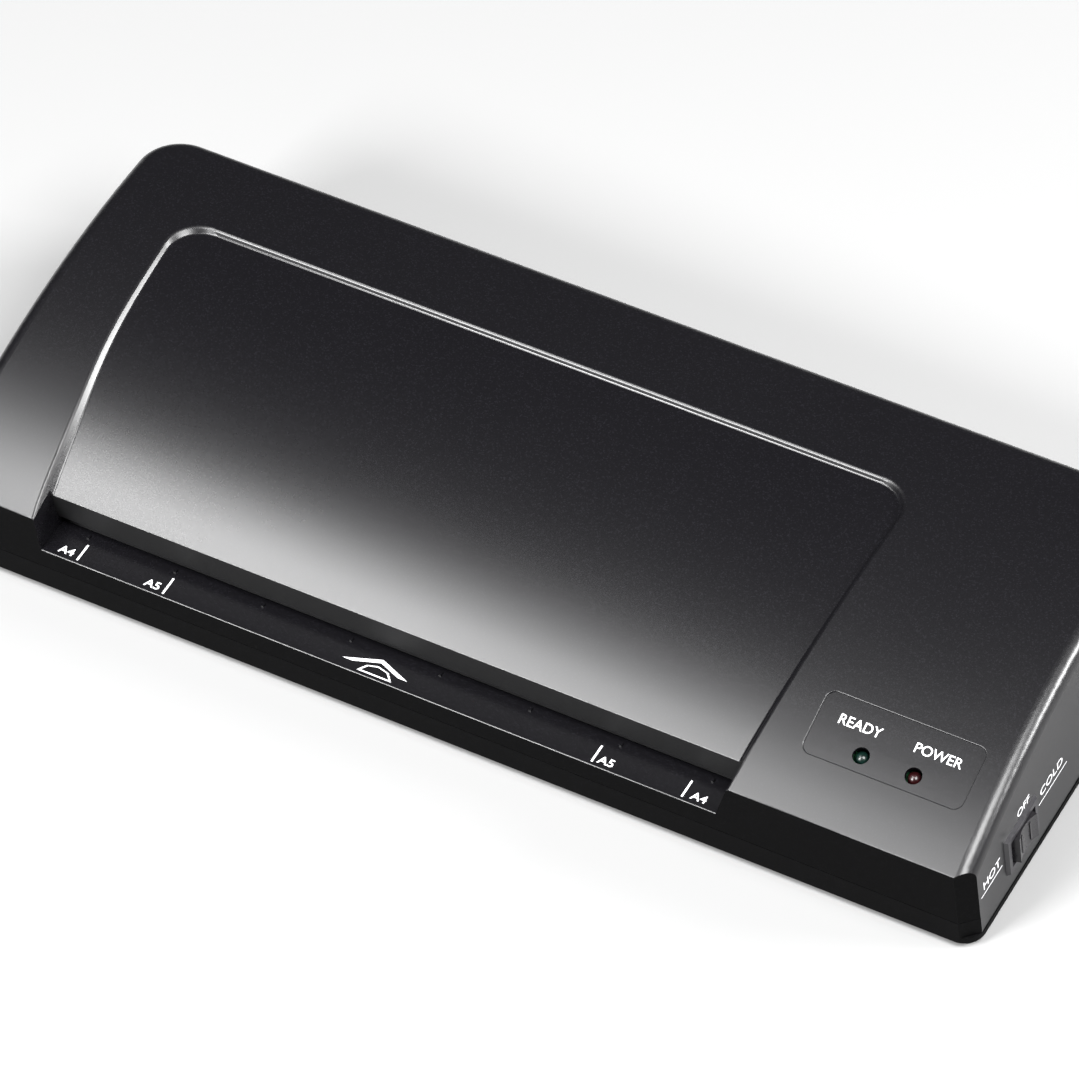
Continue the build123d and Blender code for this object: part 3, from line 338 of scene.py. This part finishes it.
def make_materials():
    """One material for each slot of the record, and two more for the housing's front and tray wall, whose
    colours paint shade on the front faces and light on the wall over the feed slot.
    """
    return {
        "cover_black": housing_plastic(
            "cover_black", (0.0026, 0.0024, 0.0032), (0.0055, 0.0052, 0.0068), 0.33, 0.29, 0.55),
        # Darker copy of the housing plastic: its colour is painted shade for the faces that look forward.
        "cover_front_painted_shade": housing_plastic(
            "cover_front_painted_shade", (0.0008, 0.0008, 0.0009), (0.003, 0.003, 0.0033), 0.70, 0.70, 0.05),
        # Lighter copy of the housing plastic: its colour is painted light for the wall over the feed slot.
        "cover_tray_painted_light": housing_plastic(
            "cover_tray_painted_light", (0.0045, 0.0045, 0.0048), (0.008, 0.008, 0.0085), 0.50, 0.50, 0.20),
        # The base's colour, darker than cover_black and the same as the front faces', is painted shade.
        "base_black": housing_plastic(
            "base_black", (0.0008, 0.0008, 0.0009), (0.003, 0.003, 0.0033), 0.60, 0.60, 0.05),
        "foot_rubber": plain("foot_rubber", (0.012, 0.012, 0.012), 0.78, 0.0, 900.0, 0.5),
        "screw_zinc": brushed("screw_zinc", (0.62, 0.60, 0.52), 0.34, "Z"),
        "sheet_steel": spangled("sheet_steel", (0.62, 0.63, 0.65), 0.36),
        "bar_steel": brushed("bar_steel", (0.55, 0.55, 0.57), 0.26, "X"),
        "guide_plastic": plain("guide_plastic", (0.018, 0.018, 0.019), 0.5, 0.0, 700.0, 0.3),
        "hot_aluminium": brushed("hot_aluminium", (0.72, 0.73, 0.74), 0.36, "X", 0.5),
        "mica": flaky("mica", (0.50, 0.42, 0.26), (0.24, 0.18, 0.10)),
        "insulator": plain("insulator", (0.72, 0.68, 0.58), 0.7, 0.0, 800.0, 0.5, 0.4, 0.85),
        "thermostat_case": plain("thermostat_case", (0.05, 0.025, 0.016), 0.25, 0.0, 500.0, 0.1),
        "fuse_glass": plain("fuse_glass", (0.72, 0.70, 0.63), 0.2, 0.0, 900.0, 0.4, 0.5, 0.9),
        "silicone": plain("silicone", (0.26, 0.035, 0.022), 0.55, 0.0, 1100.0, 0.3, 0.4, 0.85),
        "gear_nylon": nylon("gear_nylon", (0.74, 0.71, 0.62)),
        "bush_bronze": plain("bush_bronze", (0.48, 0.30, 0.13), 0.48, 1.0, 1300.0, 0.7, 0.5, 0.75),
        "bush_plastic": nylon("bush_plastic", (0.58, 0.53, 0.40)),
        "spring_steel": brushed("spring_steel", (0.42, 0.42, 0.44), 0.3, "Z"),
        "motor_steel": brushed("motor_steel", (0.60, 0.60, 0.58), 0.3, "X"),
        "board": circuit_board("board"),
        "lamination": layered(
            "lamination", (0.20, 0.20, 0.22), (0.05, 0.045, 0.045), 420.0, "Z", 0.45, 0.6),
        "capacitor": plain("capacitor", (0.012, 0.02, 0.10), 0.22, 0.0, 300.0, 0.1),
        "terminal": plain("terminal", (0.02, 0.16, 0.06), 0.38, 0.0, 600.0, 0.2),
        "ready_green": lamp_lens("ready_green", (0.0005, 0.006, 0.004), (0.001, 0.014, 0.010)),
        "power_red": lamp_lens("power_red", (0.010, 0.0005, 0.0008), (0.024, 0.001, 0.002)),
        "switch_case": plain("switch_case", (0.018, 0.017, 0.020), 0.38, 0.0, 900.0, 0.25, 0.6),
        "rocker_black": plain("rocker_black", (0.014, 0.013, 0.015), 0.30, 0.0, 700.0, 0.12, 0.55),
        "terminal_brass": brushed("terminal_brass", (0.62, 0.52, 0.30), 0.3, "X"),
        "gland_nylon": plain("gland_nylon", (0.010, 0.010, 0.010), 0.45, 0.0, 700.0, 0.3),
        "ink": plain("ink", (0.80, 0.80, 0.82), 0.5, 0.0, 1500.0, 0.3, 0.3, 0.9),
    }


def dress_nodes(materials):
    """Each CAD node gets the material of its slot in the record."""
    for part in frame["record"]["subparts"]:
        mesh = nodes[part["node"]].data
        mesh.materials.clear()
        mesh.materials.append(materials[part["material_slot"]])


def dress_front(front, tray):
    """The housing's faces that look forward get a matt copy of its plastic whose darker colour is painted
    shade; the wall over the feed slot gets a less matt copy whose lighter colour is painted light.
    """
    mesh = nodes["upper_housing"].data
    mesh.materials.append(front)
    mesh.materials.append(tray)
    shelf_middle, tray_wall = at(0, SHELF_DEPTH / 2, 0), at(0, SHELF_DEPTH + 1.0, SLOT_TOP)
    for face in mesh.polygons:
        if face.normal.y > -0.3 or face.normal.z > 0.3:
            continue
        if face.center.y < shelf_middle.y:
            # Low forward faces: the darker copy, painted shade.
            face.material_index = 1
        elif face.center.y < tray_wall.y and face.center.z > tray_wall.z:
            # The wall over the feed slot: the lighter copy, painted light.
            face.material_index = 2


# ---- pressure springs -----------------------------------------------------------------------
def coil_rings(side, steps=112, corners=12):
    """Rings of points around one spring's wire, from its lower end up."""
    rings = []
    for i in range(steps + 1):
        turn = 2 * math.pi * SPRING_TURNS * i / steps
        out = Vector((math.cos(turn), math.sin(turn), 0))
        rise = (SPRING_TOP - SPRING_LOW) / (2 * math.pi * SPRING_TURNS)
        along = Vector((-SPRING_R * out.y, SPRING_R * out.x, rise)).normalized()
        centre = Vector((side * SPRING_X, SPRING_Y, SPRING_LOW + rise * turn)) + out * SPRING_R
        ring = []
        for k in range(corners):
            angle = 2 * math.pi * k / corners
            spoke = out * math.cos(angle) + along.cross(out) * math.sin(angle)
            ring.append(at(*(centre + spoke * SPRING_WIRE)))
        rings.append(ring)
    return rings


def make_springs(material):
    """Both springs as one piece on the chassis, in place of the pressure_springs node."""
    builder = bmesh.new()
    for side in (-1, 1):
        rings = [[builder.verts.new(point) for point in ring] for ring in coil_rings(side)]
        for low, high in zip(rings, rings[1:]):
            for k in range(len(low)):
                builder.faces.new((low[k - 1], low[k], high[k], high[k - 1]))
        builder.faces.new(rings[0])
        builder.faces.new(rings[-1])
    bmesh.ops.recalc_face_normals(builder, faces=builder.faces)
    mesh = bpy.data.meshes.new("pressure_spring_coils")
    builder.to_mesh(mesh)
    builder.free()
    for face in mesh.polygons:
        face.use_smooth = len(face.vertices) == 4
    mesh.materials.append(material)
    piece = bpy.data.objects.new("pressure_spring_coils", mesh)
    bpy.context.scene.collection.objects.link(piece)
    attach(piece, "chassis")
    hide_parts("pressure_springs")
    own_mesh(piece)


# ---- printed marks --------------------------------------------------------------------------
def surface_frame(origin, along, out):
    """Matrix whose X runs along the print, Y up the letters and Z out of the surface."""
    out = out.normalized()
    along = (along - out * along.dot(out)).normalized()
    matrix = Matrix((along, out.cross(along), out)).transposed().to_4x4()
    return Matrix.Translation(origin + out * RISE * MM) @ matrix


def shelf_frame():
    """On the feed shelf, with its origin at the middle of the front lip."""
    slope = Vector((0, SHELF_DEPTH, SHELF_SLOT_Z - SHELF_LIP_Z))
    return surface_frame(at(0, 0, SHELF_LIP_Z), Vector((1, 0, 0)), Vector((1, 0, 0)).cross(slope))


def top_frame(x, y):
    """On the sunk label field of the top, at x and y."""
    normal = Vector((0, y - CROWN_Y, crown_z(y) - CROWN_TOP + CROWN_R))
    return surface_frame(at(x, y, crown_z(y, LABEL_SINK)), Vector((1, 0, 0)), normal)


def wall_frame(y, z):
    """On the right wall, with letters that read from the front to the back."""
    return surface_frame(at(WALL_X - WALL_LEAN * z, y, z), Vector((0, 1, 0)), Vector((1, 0, WALL_LEAN)))


def finish_mark(name, mesh, matrix, material):
    """Turns a mesh drawn in mm on a surface into a piece that goes with the housing."""
    mesh.transform(matrix @ Matrix.Scale(MM, 4))
    mesh.materials.clear()
    mesh.materials.append(material)
    piece = bpy.data.objects.new(name, mesh)
    bpy.context.scene.collection.objects.link(piece)
    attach(piece, "chassis")
    return piece


def add_plate(mesh_builder, outline):
    """One flat printed shape, INK thick, from its corners in order."""
    low = [mesh_builder.verts.new((x, y, 0.0)) for x, y in outline]
    high = [mesh_builder.verts.new((x, y, INK)) for x, y in outline]
    count = len(outline)
    mesh_builder.faces.new(high)
    mesh_builder.faces.new(reversed(low))
    for i in range(count):
        j = (i + 1) % count
        mesh_builder.faces.new((low[i], low[j], high[j], high[i]))


def print_shapes(name, outlines, matrix, material):
    """Several flat shapes as one piece, drawn in mm on the surface that the matrix gives."""
    builder = bmesh.new()
    for outline in outlines:
        add_plate(builder, outline)
    bmesh.ops.recalc_face_normals(builder, faces=builder.faces)
    mesh = bpy.data.meshes.new(name)
    builder.to_mesh(mesh)
    builder.free()
    return finish_mark(name, mesh, matrix, material)


def print_word(name, word, height, width, weight, matrix, material):
    """A word centred on its place, with capitals `height` tall and the whole word `width` wide."""
    curve = bpy.data.curves.new(name, "FONT")
    curve.body = word
    curve.align_x = "CENTER"
    curve.align_y = "CENTER"
    curve.offset = weight
    curve.extrude = 0.5
    curve.resolution_u = 6
    source = bpy.data.objects.new(name + ".source", curve)
    bpy.context.scene.collection.objects.link(source)
    bpy.context.view_layer.update()
    mesh = bpy.data.meshes.new_from_object(source.evaluated_get(bpy.context.evaluated_depsgraph_get()))
    bpy.data.objects.remove(source)
    bpy.data.curves.remove(curve)
    low = Vector([min(v.co[i] for v in mesh.vertices) for i in range(3)])
    high = Vector([max(v.co[i] for v in mesh.vertices) for i in range(3)])
    middle, span = (low + high) / 2, high - low
    for vertex in mesh.vertices:
        offset = vertex.co - middle
        depth = INK if offset.z > 0 else 0.0
        vertex.co = (offset.x / span.x * width, offset.y / span.y * height, depth)
    return finish_mark(name, mesh, matrix, material)


def bar(x, y0, y1, width):
    """Corners of an upright stroke."""
    return [(x - width / 2, y0), (x + width / 2, y0), (x + width / 2, y1), (x - width / 2, y1)]


SIZE_WORDS = (          # name, word, X and Y on the shelf
    ("size_left_outer", "A4", -109.8, 3.4),
    ("size_left_inner", "A5", -79.2, 3.3),
    ("size_right_inner", "A5", 78.5, 3.2),
    ("size_right_outer", "A4", 109.9, 3.3),
)
LAMP_WORDS = (          # name, word, width, X
    ("ready_word", "READY", 13.9, 150.2),
    ("power_word", "POWER", 15.5, 176.0),
)
LAMP_WORD_Y = 30.9
WALL_WORDS = (          # name, word, height, width, Y and Z on the right wall
    ("hot_word", "HOT", 3.2, 11.0, 14.0, 20.2),
    ("off_word", "OFF", 2.8, 8.0, 36.2, 27.0),
    ("cold_word", "COLD", 3.0, 15.0, 54.5, 21.2),
)


def make_marks(ink):
    """Pouch sizes and the feed arrow on the shelf, and the words by the lamps and the switch."""
    shelf = shelf_frame()
    ticks = [bar(x, 1.3, 8.2, 0.65) for x in (-A4_HALF, -A5_HALF, A5_HALF, A4_HALF)]
    print_shapes("size_ticks", ticks, shelf, ink)
    for name, size, x, y in SIZE_WORDS:
        print_word(name, size, 3.0, 5.2, 0.012, shelf @ Matrix.Translation(Vector((x, y, 0)) * MM), ink)
    head_left = [(-0.8, 8.3), (-12.6, 3.9), (-9.2, 3.9), (-0.8, 6.9)]
    head_right = [(-0.8, 8.3), (-0.8, 6.9), (6.6, 3.9), (9.8, 3.9)]
    tail = [[(-6.3, 1.4), (5.6, 1.4), (5.2, 1.9), (-5.9, 1.9)],
            [(-6.3, 1.4), (-5.6, 1.6), (-3.6, 4.3), (-4.4, 4.3)],
            [(5.6, 1.4), (3.2, 4.3), (2.4, 4.3), (4.9, 1.6)],
            [(-4.4, 4.3), (-0.9, 5.4), (3.2, 4.3), (2.6, 4.1), (-0.9, 4.9), (-3.8, 4.1)]]
    print_shapes("feed_arrow", [head_left, head_right] + tail, shelf, ink)

    for name, word, width, x in LAMP_WORDS:
        print_word(name, word, 3.3, width, 0.004, top_frame(x, LAMP_WORD_Y), ink)
    for name, word, height, width, y, z in WALL_WORDS:
        print_word(name, word, height, width, 0.0, wall_frame(y, z), ink)

    rules = wall_frame(33.0, 17.3)
    lines = [[(-26.5, -0.5), (-12.5, -0.5), (-12.5, -0.2), (-26.5, -0.2)],
             [(12.5, 0.0), (31.5, 0.0), (31.5, 0.3), (12.5, 0.3)]]
    print_shapes("wall_rules", lines, rules, ink)


# ---- light and floor --------------------------------------------------------------------
def area_light(name, direction, distance, size_x, size_y, power):
    """Soft box that faces the model from a direction given as a vector."""
    towards = Vector(direction).normalized()
    light = bpy.data.lights.new(name, "AREA")
    light.shape = "RECTANGLE"
    light.size = size_x
    light.size_y = size_y
    light.energy = power
    lamp = bpy.data.objects.new(name, light)
    lamp.location = towards * distance + Vector((0, 0, 0.03))
    lamp.rotation_euler = towards.to_track_quat("Z", "Y").to_euler()
    bpy.context.scene.collection.objects.link(lamp)


def make_stage():
    """A wide sheet of pale paper under the feet."""
    mesh = bpy.data.meshes.new("floor")
    half = 6.0
    corners = [(-half, -half, 0), (half, -half, 0), (half, half, 0), (-half, half, 0)]
    mesh.from_pydata(corners, [], [(0, 1, 2, 3)])
    floor = bpy.data.objects.new("floor", mesh)
    bpy.context.scene.collection.objects.link(floor)
    material, tree, shader = new_material("floor_paper")
    shader.inputs["Base Color"].default_value = (FLOOR_GREY, FLOOR_GREY, FLOOR_GREY, 1)
    shader.inputs["Roughness"].default_value = 0.9
    shader.inputs["Specular IOR Level"].default_value = 0.1
    mesh.materials.append(material)


def make_light():
    """Overhead gives the top its sheen, key the front edges and rim the side ones; fill lifts the floor."""
    world = bpy.data.worlds.new("world")
    world.use_nodes = True
    background = world.node_tree.nodes["Background"]
    background.inputs["Color"].default_value = (0.95, 0.97, 1.0, 1)
    background.inputs["Strength"].default_value = 0.06
    bpy.context.scene.world = world
    bpy.context.scene.view_settings.view_transform = "Standard"
    area_light("overhead", (-0.36, -0.405, 1.0), 1.6, 0.95, 0.32, 25)
    area_light("key", (-0.36, -0.75, 0.56), 2.1, 0.7, 0.5, 76)
    area_light("fill", (0.6, -0.2, 1.0), 1.8, 0.9, 0.9, 60)
    area_light("rim", (0.80, 0.42, 0.39), 1.64, 0.75, 0.32, 38)


make_camera()
make_stage()
make_light()
materials = make_materials()
dress_nodes(materials)
dress_front(materials["cover_front_painted_shade"], materials["cover_tray_painted_light"])
make_springs(materials["spring_steel"])
make_marks(materials["ink"])
